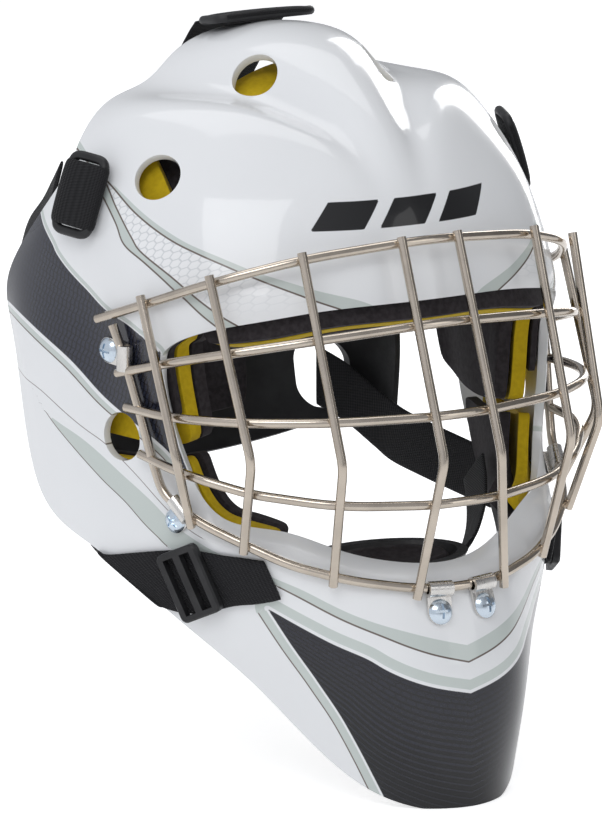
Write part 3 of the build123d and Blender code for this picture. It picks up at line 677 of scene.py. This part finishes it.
def open_vents(grid_u, grid_v):
    """Shift the grid's places so that a block of faces becomes each vent; returns the faces kept."""
    rows, columns = grid_u.shape
    shape = (rows, columns, 3)
    keep = np.ones((rows - 1, columns), bool)
    start_u, start_v = grid_u.copy(), grid_v.copy()
    points = skin_at(start_u.ravel(), start_v.ravel()).reshape(shape)
    for target in (TOP_VENT, TEMPLE_VENT, SIDE_VENT):
        for hand in (1, -1):
            centre, normal = skin_frame(target, hand)
            row, column = divmod(int(np.linalg.norm(points - centre, axis=2).argmin()), columns)
            step_u = np.linalg.norm(points[row, (column + 1) % columns] - points[row, column - 1]) / 2
            step_v = np.linalg.norm(points[row + 1, column] - points[row - 1, column]) / 2
            half_u = round(VENT_SQUARE * VENT_RADIUS / step_u)
            half_v = round(VENT_SQUARE * VENT_RADIUS / step_v)
            reach_u, reach_v = int(half_u * VENT_BLEND) + 1, int(half_v * VENT_BLEND) + 1
            span = np.arange(-reach_v, reach_v + 1)
            i, j = np.meshgrid(span, np.arange(-reach_u, reach_u + 1), indexing="ij")
            r, c = (row + i).clip(0, rows - 1).ravel(), ((column + j) % columns).ravel()
            square = np.maximum(np.abs(i) / half_v, np.abs(j) / half_u).ravel()
            keep[row - half_v:row + half_v, (column - half_u + np.arange(2 * half_u)) % columns] = False
            weight = ((VENT_BLEND - square) / (VENT_BLEND - 1)).clip(0, 1)
            weight = weight ** 2 * (3 - 2 * weight)
            here = points[r, c] - centre
            flat = here - (here @ normal)[:, None] * normal
            radius = np.linalg.norm(flat, axis=1)[:, None].clip(1e-6)
            shift = (VENT_RADIUS * flat / radius - flat / square[:, None].clip(1e-6)) * weight[:, None]
            wanted = flat + shift * (square[:, None] >= 1 - 1e-9)
            u, v = start_u[r, c], start_v[r, c]
            for _ in range(4):
                at = skin_at(u, v)
                along_u = (skin_at(u + 0.01, v) - at) / 0.01
                along_v = (skin_at(u, v + 0.01) - at) / 0.01
                gap = at - centre
                left = wanted - (gap - (gap @ normal)[:, None] * normal)
                uu, vv = (along_u ** 2).sum(1), (along_v ** 2).sum(1)
                uv, ul, vl = (along_u * along_v).sum(1), (along_u * left).sum(1), (along_v * left).sum(1)
                det = uu * vv - uv ** 2
                moved = (square >= 1 - 1e-9) & (square < VENT_BLEND)
                u = u + np.where(moved, (ul * vv - vl * uv) / det, 0)
                v = v + np.where(moved, (vl * uu - ul * uv) / det, 0)
            grid_u[r, c], grid_v[r, c] = u, v
    return keep.ravel()


def build_shell():
    """The painted shell: a dense sheet pierced by the vents, thickened and edged."""
    columns = RING * COLUMNS_PER_STATION
    rows = np.linspace(0, LAST_STEP, SHELL_ROWS)
    grid_u, grid_v = np.meshgrid(np.arange(columns) / COLUMNS_PER_STATION, rows)
    keep = open_vents(grid_u, grid_v)
    points = skin_at(grid_u.ravel(), grid_v.ravel())
    points[:, 2] = np.maximum(points[:, 2], 0.0)
    faces = np.array(grid_faces(SHELL_ROWS, columns, closed=True))[keep]
    flat_u, flat_v = grid_u.ravel() % RING, grid_v.ravel()
    flat_u = np.where(flat_u > LAST_STATION, RING - flat_u, flat_u)
    on_left = points * np.where(points[:, :1] < 0, [[-1.0, 1, 1]], [[1.0, 1, 1]])
    fields = {"skin_v": flat_v}

    def band(name, runs, outline_runs):
        fields[name], fields[name + "_run"] = region(on_left, flat_u, flat_v, runs, outline_runs)

    band("sage_upper", [UPPER_EDGE, PIN_UPPER], [UPPER_EDGE, PIN_UPPER[::-1]])
    band("honey", [PIN_UPPER, LINE_B], [PIN_UPPER[1:], LINE_B[::-1]])
    band("sage_stripe", [LINE_A, LINE_B], [LINE_A, LINE_B[::-1]])
    band("ear", [EAR_TOP + EAR_FRONT[1:], EAR_LOW], [EAR_TOP, EAR_FRONT, EAR_LOW[::-1]])
    band("sage_jaw", [JAW_TOP, JAW_LOW], [JAW_TOP, [(BEYOND_CHIN, 2.85), (BEYOND_CHIN, 3.2)], JAW_LOW[::-1]])
    beyond = [(BEYOND_CHIN, 3.83), (BEYOND_CHIN, 6.6), (12.3, 6.6)]
    band("panel", [PANEL_TOP, PANEL_SIDE], [PANEL_TOP, beyond[:2], PANEL_SIDE[::-1]])
    pinlines = {
        "pin_upper": PIN_UPPER, "pin_b": LINE_B, "pin_a": LINE_A,
        "pin_thin": THIN_LINE, "pin_jaw": JAW_LOW[7:], "pin_wedge": JAW_LOW[:6],
    }
    for name, run in pinlines.items():
        fields[name] = line_distance(on_left, [run], (flat_u, flat_v))[0]
    top = np.array(PANEL_TOP)
    fields["panel_depth"] = (flat_v - np.interp(flat_u, top[:, 0], top[:, 1])) * STEP_LENGTH
    fields["badge"] = badge_field(points)
    for name in ("sage_upper", "honey", "sage_stripe", "sage_jaw"):
        del fields[name + "_run"]
    shell = make_piece("painted_shell", points, faces, PAINT, attributes=fields)
    shell.data.materials.append(GEL)
    solid = shell.modifiers.new("wall", "SOLIDIFY")
    solid.thickness, solid.offset = SHELL_WALL * MM, -1.0
    solid.use_even_offset, solid.material_offset, solid.use_quality_normals = True, 1, True
    round_edges(shell, RIM_ROUNDING, 55)
    place(shell, "mask", ["shell"])


def badge_field(points):
    """A generic mark of three slanted bars in the middle of the forehead, in mm."""
    x, z = points[:, 0], points[:, 2]
    field = np.full(len(points), -50.0)
    for middle in (-29, 0, 29):
        rise = z - BADGE_HEIGHT
        beside = (11.0 - np.abs(x - middle - BADGE_SLANT * rise)) / math.hypot(1, BADGE_SLANT)
        bar = np.minimum(beside, 5.6 - np.abs(rise))
        field = np.maximum(field, np.where(points[:, 1] < -40, bar, -50.0))
    return field


build_shell()

# ---------------------------------------------------------------- liner foam
LAYER_GAP = 0.7
FRONT_LAYER_GAP = 1.5
JAW_LAYER_GAP = 3.6
VALLEY_ROOM = 10.5
FOAM_ROUNDING = 0.9
# The outer layer stops short of the vents, so the yellow core shows through them.
TEMPLE_PADS = {
    "outer": [(4.5, 0.1), (6.9, 0.1), (6.9, 5.2), (4.5, 5.2)],
    "core": [(4.5, 0.1), (7.4, 0.1), (7.4, 5.2), (2.95, 5.2)],
    "inner": [(4.4, 0.1), (7.4, 0.1), (7.4, 5.3), (2.4, 5.3)],
}


def pad(name, corners, inset, thickness, material, node, dome, steps, carved):
    """A foam layer between four (u, v) corners, with softened edges and a slight crown."""
    corners = np.array(corners, float)
    a, b = np.meshgrid(np.linspace(0, 1, steps), np.linspace(0, 1, steps), indexing="ij")
    start = corners[0] + (corners[3] - corners[0]) * a[..., None]
    end = corners[1] + (corners[2] - corners[1]) * a[..., None]
    uv = start + (end - start) * b[..., None]
    # round the corners of the outline a little
    centre = uv.mean(axis=(0, 1))
    pinch = 0.05 * (np.abs(2 * a - 1) ** 14 * np.abs(2 * b - 1) ** 14)
    uv = uv + (centre - uv) * pinch[..., None]
    lump = 0.25 * np.sin(9 * a + 3) * np.sin(7 * b + 1)
    edge = np.minimum(np.minimum(a, 1 - a), np.minimum(b, 1 - b))
    crown = dome * np.clip(edge / 0.25, 0, 1) ** 0.6
    flat = uv.reshape(-1, 2)
    top = liner_surface(flat[:, 0], flat[:, 1], inset, carved).reshape(steps, steps, 3)
    deep = inset + thickness + (lump + crown).ravel() * (dome > 0)
    bottom = liner_surface(flat[:, 0], flat[:, 1], deep, carved).reshape(steps, steps, 3)
    points, faces = slab(top, bottom)
    place(make_piece(name, points, faces, material, bevel=FOAM_ROUNDING), "mask", [node])


def box_corners(u_from, u_to, v_from, v_to):
    """Corners of a patch that runs along the stations."""
    return [(u_from, v_from), (u_to, v_from), (u_to, v_to), (u_from, v_to)]


LAYERS = {
    "outer": (BLACK_FOAM, "foam_black", 0.0),
    "core": (YELLOW, "foam_yellow", 0.0),
    "inner": (BLACK_FOAM, "foam_black", 1.0),
}
FRONT_STACK = {"outer": 3.0, "core": 6.5, "inner": 6.0}      # thicknesses from the shell inwards
JAW_STACK = {"core": 5.0, "inner": 4.6}
CROWN_STACK = {"core": 6.5, "inner": 6.0}


def pad_stack(region, tail, corners, inset, stack, gap, steps=34, carved=True):
    """The layers of one pad. corners gives a layer's four (u, v) corners."""
    for kind, thickness in stack.items():
        material, slot, dome = LAYERS[kind]
        name, node = f"{region}_pad_{kind}{tail}", f"{region}_foam_{kind}{tail}"
        pad(name, corners(kind), inset, thickness, material, node, dome, steps, carved)
        inset += thickness + gap


def crown_corners(kind):
    spread = 0.3 if kind == "inner" else 0.0
    return box_corners(-1.9 - spread, 1.9 + spread, 2.6 - spread, 5.2 + spread)


def build_liner():
    """The foam pads at the brow, temples, jaw and crown."""
    inset, gap = SHELL_WALL + LAYER_GAP, FRONT_LAYER_GAP
    pad_stack("brow", "", lambda kind: box_corners(-4.1, 4.1, -0.45, 1.9), inset, FRONT_STACK, gap, 64)
    for side, word in HANDS:
        def temple(kind):
            return [(u * side, v) for u, v in TEMPLE_PADS[kind]]

        def jaw(kind):
            return box_corners(7.6 * side, 9.9 * side, 0.2, 4.4)

        pad_stack("temple", "_" + word, temple, inset, FRONT_STACK, gap)
        pad_stack("jaw", "_" + word, jaw, SHELL_WALL + gap, JAW_STACK, JAW_LAYER_GAP)
    pad_stack("crown", "", crown_corners, SHELL_WALL + gap + VALLEY_ROOM, CROWN_STACK, gap, 50, carved=False)


build_liner()

# ---------------------------------------------------------------- straps
STRAP_WIDTH = 27.0
CROWN_STRAP_WIDTH = 46.0
STRAP_THICKNESS = 1.8
PLATE_REAR = 130.9
JAW_WEBBING_UPPER = [(9.05, 5.95), (8.97, 4.4), (8.98, 3.0), (9.1, 1.95), (9.45, 1.45), (9.85, 1.28)]
JAW_WEBBING_LOWER = [(9.83, 5.95), (9.9, 5.2), (9.95, 4.3), (10.0, 3.5), (10.13, 2.95), (10.3, 2.45)]


def woven(name, rings, alongs, acrosses, material):
    """A closed tube of rings that carries the places the weave needs."""
    fields = {"along": np.concatenate(alongs), "across": np.concatenate(acrosses)}
    faces = capped_rings(len(rings), len(rings[0]))
    return make_piece(name, np.concatenate(rings), faces, material, attributes=fields)


def strap(name, line, widths, material, steps=14, outward=None):
    """A woven strap along a line, with rounded selvedges. widths are half-width vectors."""
    centre = catmull(line, steps)
    half = catmull(widths, steps)
    tangent = np.gradient(centre, axis=0)
    tangent /= np.linalg.norm(tangent, axis=1, keepdims=True)
    normal = np.cross(half, tangent)
    normal /= np.linalg.norm(normal, axis=1, keepdims=True)
    if outward is not None and (normal[len(normal) // 2] @ np.array(outward)) < 0:
        normal = -normal
    reach = np.concatenate([[0], np.cumsum(np.linalg.norm(np.diff(centre, axis=0), axis=1))])
    angles = circle_angles(28)
    across, up = squared(np.cos(angles), 0.35), squared(np.sin(angles), 0.6)
    rings, alongs, acrosses = [], [], []
    for c, h, n, s in zip(centre, half, normal, reach):
        rings.append(c + np.outer(across, h) + np.outer(up * STRAP_THICKNESS / 2, n))
        alongs.append(np.full(len(angles), s))
        acrosses.append(across * np.linalg.norm(h))
    return woven(name, rings, alongs, acrosses, material)


def mirrored(values, side):
    return [(x * side, y, z) for x, y, z in values]


def bridge(piece, node):
    """Bake a strap's transform and hide the CAD node it stands in for; the strap is attached to no body."""
    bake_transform(piece)
    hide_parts(node)


def on_skin(places, lift):
    """Skin points at (u, v) places, lifted off the surface."""
    places = np.array(places, float)
    return skin_at(places[:, 0], places[:, 1], np.full(len(places), -lift))


def wrapped_edge(places):
    """One edge of the jaw webbing: inside the rear rim, round it, then over the skin."""
    u = places[0][0]
    inside = skin_at(np.full(2, u), np.array([5.35, 5.75]), SHELL_WALL + 1.6)
    rim, before = skin_at(np.full(2, u), np.array([6.0, 5.9]), SHELL_WALL / 2)
    back = rim + (rim - before) / np.linalg.norm(rim - before) * 2.2
    return np.concatenate([inside, [back], on_skin(catmull(places, 8), 1.9)])


def build_straps():
    """Jaw webbing, elastics and the webbing folded over the rear rim."""
    # jaw webbing: from its cut end in front of the buckle to the rear rim
    for side, word in HANDS:
        mirror = np.array([side, 1, 1])
        edge_a, edge_b = wrapped_edge(JAW_WEBBING_UPPER), wrapped_edge(JAW_WEBBING_LOWER)
        centre, half = (edge_a + edge_b) / 2 * mirror, (edge_a - edge_b) / 2 * mirror
        piece = strap(f"jaw_strap_{word}", centre, half, WEBBING, steps=3, outward=(side, -0.4, 0))
        place(piece, "mask", [f"jaw_webbing_{word}"])

    # elastics that cross to the back plate
    half = CROWN_STRAP_WIDTH / 2
    crown_line = [(0, 55.5, 310.5), (0, 63, 303), (0, 84, 279), (0, 104, 257), (0, 121.2, 238), (0, 124, 230)]
    crown = strap("crown_elastic_strap", crown_line, [(half, 0, 0)] * len(crown_line), ELASTIC)
    bridge(crown, "crown_elastic")
    half = STRAP_WIDTH / 2
    temple_line = [
        (106.5, 32, 250), (100, 49.5, 240), (92, 72, 227),
        (85.5, 94, 215), (74.5, 117, 204), (64, 127.5, 200),
    ]
    jaw_line = [
        (98, 2, 104), (94.5, 20, 107), (88, 42, 112), (84, 60, 116),
        (81, 74, 122), (75, 88, 131), (67, 100, 138),
    ]
    for side, word in HANDS:
        temple_widths = [(0, -0.42 * half, 0.9 * half)] * len(temple_line)
        jaw_widths = [(0, -0.3 * half, 0.94 * half)] * 4 + [(0, 0, half)] * 3
        for kind, line, widths in (("temple", temple_line, temple_widths), ("jaw", jaw_line, jaw_widths)):
            name = f"{kind}_elastic_strap_{word}"
            piece = strap(name, mirrored(line, side), widths, ELASTIC, outward=(side, 0, 0))
            bridge(piece, f"{kind}_elastic_{word}")

    # webbing folded over the rear rim, and the plastic loops in the folds
    line = skin_line([(-0.68, 5.76), (0, 5.78), (0.68, 5.76)])
    folded_loop("crown_webbing_fold", "crown_strap_loop", line, "crown_webbing", 2.1)
    for side, word in HANDS:
        line = skin_line([(4.15 * side, 5.0), (4.62 * side, 4.68), (5.1 * side, 4.36)])
        names = f"temple_webbing_fold_{word}", f"temple_strap_loop_{word}"
        folded_loop(*names, line, f"temple_webbing_{word}", 2.6)


def skin_line(places):
    """Places on the skin with their outward normals."""
    places = np.array(places, float)
    ground = skin_at(places[:, 0], places[:, 1])
    outward = ground - skin_at(places[:, 0], places[:, 1], np.ones(len(places)))
    return ground, outward


LOOP_RADIUS = 2.0
FOLD_HALF_LENGTH = 12.0


def folded_loop(name, loop_name, line, node, half_height):
    """Webbing folded round a plastic bar: a soft flat roll along a line on the skin."""
    ground, outward = line
    axis = ground[-1] - ground[0]
    axis = axis / np.linalg.norm(axis)
    out = outward[len(outward) // 2]
    out = out / np.linalg.norm(out)
    back = np.cross(axis, out)
    width = np.linalg.norm(ground[-1] - ground[0])
    middle = ground[len(ground) // 2]
    rings, alongs, acrosses = [], [], []
    angles = circle_angles(40)
    for t in np.linspace(-1, 1, 27):
        round_end = 1 - abs(t) ** 12 * 0.10
        a = squared(np.cos(angles), 0.7) * FOLD_HALF_LENGTH * round_end
        b = squared(np.sin(angles), 0.8) * half_height * round_end
        centre = middle + axis * t * width / 2 + out * (half_height + 0.6 + 0.5 * (1 - t ** 2))
        rings.append(centre + np.outer(a, back) + np.outer(b, out))
        alongs.append(angles * FOLD_HALF_LENGTH * 0.8)
        acrosses.append(np.full(len(angles), t * width / 2))
    place(woven(name, rings, alongs, acrosses, WEBBING), "mask", [node])
    # plastic loop: two rounded posts past the webbing's ends, joined by its front and rear bars
    corners = []
    for t in circle_angles(48):
        a = squared(math.cos(t), 0.35) * (width / 2 + 2.4)
        b = squared(math.sin(t), 0.35) * (FOLD_HALF_LENGTH - 2.5)
        corners.append(middle + axis * a + back * b + out * (half_height + 0.4))
    ring_bar(loop_name, np.array(corners))


def ring_bar(name, line):
    """A round plastic bar along a closed line of points, on the mask."""
    ahead = np.roll(line, -1, axis=0) - np.roll(line, 1, axis=0)
    ahead /= np.linalg.norm(ahead, axis=1, keepdims=True)
    rings, sides = [], 12
    guide = np.array([0.31, 0.22, 0.92])     # any direction that the line never takes
    for point, direction in zip(line, ahead):
        first = np.cross(direction, guide)
        first /= np.linalg.norm(first)
        second = np.cross(direction, first)
        angles = circle_angles(sides)
        circle = np.outer(np.cos(angles), first) + np.outer(np.sin(angles), second)
        rings.append(point + LOOP_RADIUS * circle)
    faces = grid_faces(len(line), sides, closed=True)
    last = (len(line) - 1) * sides
    faces += [(last + j, last + (j + 1) % sides, (j + 1) % sides, j) for j in range(sides)]
    piece = make_piece(name, np.concatenate(rings), faces, PLASTIC)
    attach(piece, "mask")


build_straps()

# ---------------------------------------------------------------- chin cup, slings, plate foam
def build_chin():
    """The sling straps and the cushion in the chin cup."""
    half = 7.5
    line = [(39.6, -62, 92), (46, -57, 96), (57, -45, 103), (67, -30, 110), (76, -14, 116)]
    for side, word in HANDS:
        widths = [(0, -half, half)] * len(line)
        name = f"chin_sling_strap_{word}"
        piece = strap(name, mirrored(line, side), widths, WEBBING, outward=(side, 0, 0.3))
        bridge(piece, f"chin_sling_{word}")
    rings, steps = [], 72
    angles = circle_angles(steps)
    profile = [
        (0.0, 91.0), (0.35, 91.3), (0.65, 92.6), (0.85, 94.3), (0.96, 95.2), (1.0, 94.0),
        (0.97, 91), (0.86, 86), (0.74, 82.5), (0.3, 82.1), (0.0, 82.0),
    ]
    for share, height in profile:
        ripple = 1 + 0.012 * np.sin(9 * angles)
        x, y = 29.4 * share * ripple * np.cos(angles), 18.4 * share * ripple * np.sin(angles)
        rings.append(np.stack([x, -62 + y, np.full(steps, height)], 1))
    faces = grid_faces(len(rings), steps, closed=True)
    piece = make_piece("chin_cup_cushion", np.concatenate(rings), faces, BLACK_FOAM)
    place(piece, "chin_cup_unit", ["chin_cup_pad"])


# The plate's rows: height in the middle, rise towards the sides, half width, y of the
# middle and y of the sides.
PLATE_ROWS = [
    (104, 20, 95, PLATE_REAR - 13, 67),
    (137, 12, 97, PLATE_REAR - 3, 67),
    (170, 4, 96, PLATE_REAR, 69),
    (204, -3, 88, PLATE_REAR - 2, 78),
    (236, -12, 66, PLATE_REAR - 13, 94),
]


def plate_point(x_share, height, inset):
    """Point on the back plate's face; x_share is -1..1 and height runs over the rows."""
    rows = np.array(PLATE_ROWS, float)
    middle, rise, half_width, rear, end = (np.interp(height, rows[:, 0], rows[:, k]) for k in range(5))
    back = math.sqrt(max(0.0, 1 - x_share * x_share))
    x, y = (half_width - inset) * x_share, end + (rear - inset - end) * back ** 0.8
    return x, y, middle + rise * x_share * x_share


def build_plate_foam():
    """Two foam layers inside the back plate, quilted by moulded grooves."""
    inset = 3.7
    layers = (("core", 3.5, YELLOW, "foam_yellow"), ("inner", 6.0, BLACK_FOAM, "foam_black"))
    for kind, thickness, material, slot in layers:
        steps = 60
        top, bottom = np.zeros((steps, steps, 3)), np.zeros((steps, steps, 3))
        for i, a in enumerate(np.linspace(0, 1, steps)):
            for j, b in enumerate(np.linspace(-1, 1, steps)):
                pinch = 1 - 0.06 * abs(2 * a - 1) ** 8
                x_share, height = 0.44 * b * pinch, 124 + 82 * (0.5 + (a - 0.5) * (1 - 0.05 * abs(b) ** 8))
                groove = 1.2 * math.exp(-((abs(b) - 0.42) / 0.035) ** 2) if kind == "inner" else 0.0
                top[i, j] = plate_point(x_share, height, inset)
                bottom[i, j] = plate_point(x_share, height, inset + thickness - groove)
        points, faces = slab(top, bottom)
        piece = make_piece(f"plate_pad_{kind}", points, faces, material, bevel=FOAM_ROUNDING)
        place(piece, "back_plate_unit", [f"back_plate_foam_{kind}"])
        inset += thickness + LAYER_GAP


build_chin()
build_plate_foam()

WING_START = 55.0
WING_DRAW = 0.17           # share of the width beyond WING_START that is drawn in


def build_plate():
    """The moulded back plate, with its side wings drawn in behind the shell's rear edge."""
    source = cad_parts["back_plate"].data
    points = np.zeros(len(source.vertices) * 3)
    source.vertices.foreach_get("co", points)
    points = points.reshape(-1, 3) / MM
    wide = np.clip(np.abs(points[:, 0]) - WING_START, 0, None)
    points[:, 0] -= np.sign(points[:, 0]) * wide * WING_DRAW
    faces = [list(face.vertices) for face in source.polygons]
    plate = make_piece("back_plate_moulding", points, faces, PLASTIC)
    place(plate, "back_plate_unit", ["back_plate"])


build_plate()

# ---------------------------------------------------------------- CAD nodes that stay
KEPT = {
    "cage_": WIRE, "chin_clips": SHEET, "side_clips": SHEET, "temple_clips": SHEET,
    "screws": ZINC, "nuts": ZINC, "back_plate": PLASTIC, "chin_cup": PLASTIC, "triglide": PLASTIC,
}
for name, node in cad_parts.items():
    if node.hide_render:
        continue
    for key, material in KEPT.items():
        if key in name:
            node.data.materials.clear()
            node.data.materials.append(material)
            break
    else:
        raise SystemExit(f"no material for {name}")

# ---------------------------------------------------------------- stage, light, camera
FLOOR_HALF = 9.0


def build_stage():
    """A plain pale floor that also glows a little, so that it stays white."""
    n = Nodes("studio_floor", (0.93, 0.93, 0.93), 0.7)
    n.mottle(3, 2, (0.93, 0.93, 0.93), (0.91, 0.91, 0.91))
    n.set("Emission Color", (1, 1, 1, 1))
    path = n.add("ShaderNodeLightPath")
    n.link(n.range(path.outputs["Is Camera Ray"], 0.0, 1.0, 0.22, 0.6), n.shader.inputs["Emission Strength"])
    mesh = bpy.data.meshes.new("floor")
    corners = [(x * FLOOR_HALF, y * FLOOR_HALF, 0) for x, y in ((-1, -1), (1, -1), (1, 1), (-1, 1))]
    mesh.from_pydata(corners, [], [(0, 1, 2, 3)])
    floor = bpy.data.objects.new("floor", mesh)
    bpy.context.scene.collection.objects.link(floor)
    mesh.materials.append(n.material)


def softbox(name, spot, size, power):
    """A soft box that faces the middle of the mask."""
    data = bpy.data.lights.new(name, "AREA")
    data.shape, data.size, data.size_y, data.energy = "RECTANGLE", *size, power
    light = bpy.data.objects.new(name, data)
    light.location = spot
    light.rotation_euler = (Vector((0, 0, 0.18)) - Vector(spot)).to_track_quat("-Z", "Y").to_euler()
    bpy.context.scene.collection.objects.link(light)


def build_lights():
    """A soft surround and four soft boxes."""
    world = bpy.data.worlds.new("studio")
    bpy.context.scene.world = world
    world.use_nodes = True
    tree = world.node_tree
    background = tree.nodes["Background"]
    background.inputs[0].default_value = (0.93, 0.95, 1.0, 1)
    # a light side and a dark side, for the wires to reflect
    kinds = "ShaderNodeTexCoord", "ShaderNodeSeparateXYZ", "ShaderNodeMapRange"
    coordinates, split, strength = [tree.nodes.new(kind) for kind in kinds]
    tree.links.new(coordinates.outputs["Generated"], split.inputs[0])
    tree.links.new(split.outputs[0], strength.inputs[0])
    for socket, value in zip(strength.inputs[1:5], (-0.7, 0.7, 0.74, 0.2)):
        socket.default_value = value
    tree.links.new(strength.outputs[0], background.inputs[1])
    softbox("key", (-1.1, -0.9, 1.5), (1.1, 0.8), 7.5)
    softbox("top", (0.1, 0.3, 1.7), (1.3, 1.0), 6)
    softbox("front", (0.9, -1.7, 0.7), (0.6, 1.2), 2.5)
    softbox("rim", (1.2, 0.9, 0.7), (0.4, 1.2), 5)


def build_camera():
    """The camera, in front of the wearer's right and a little above."""
    data = bpy.data.cameras.new("camera")
    data.lens, data.sensor_width = 348.5, 36.0
    camera = bpy.data.objects.new("camera", data)
    ahead = Vector((0.5185, 0.8298, -0.2063)).normalized()
    right = ahead.cross(Vector((0, 0, 1))).normalized()
    up = right.cross(ahead)
    facing = Matrix((right, up, -ahead)).transposed().to_4x4()
    camera.matrix_world = Matrix.Translation((-1.7614, -2.8128, 0.8483)) @ facing
    bpy.context.scene.collection.objects.link(camera)
    bpy.context.scene.camera = camera


build_stage()
build_lights()
build_camera()
bpy.context.scene.view_settings.view_transform = "Standard"
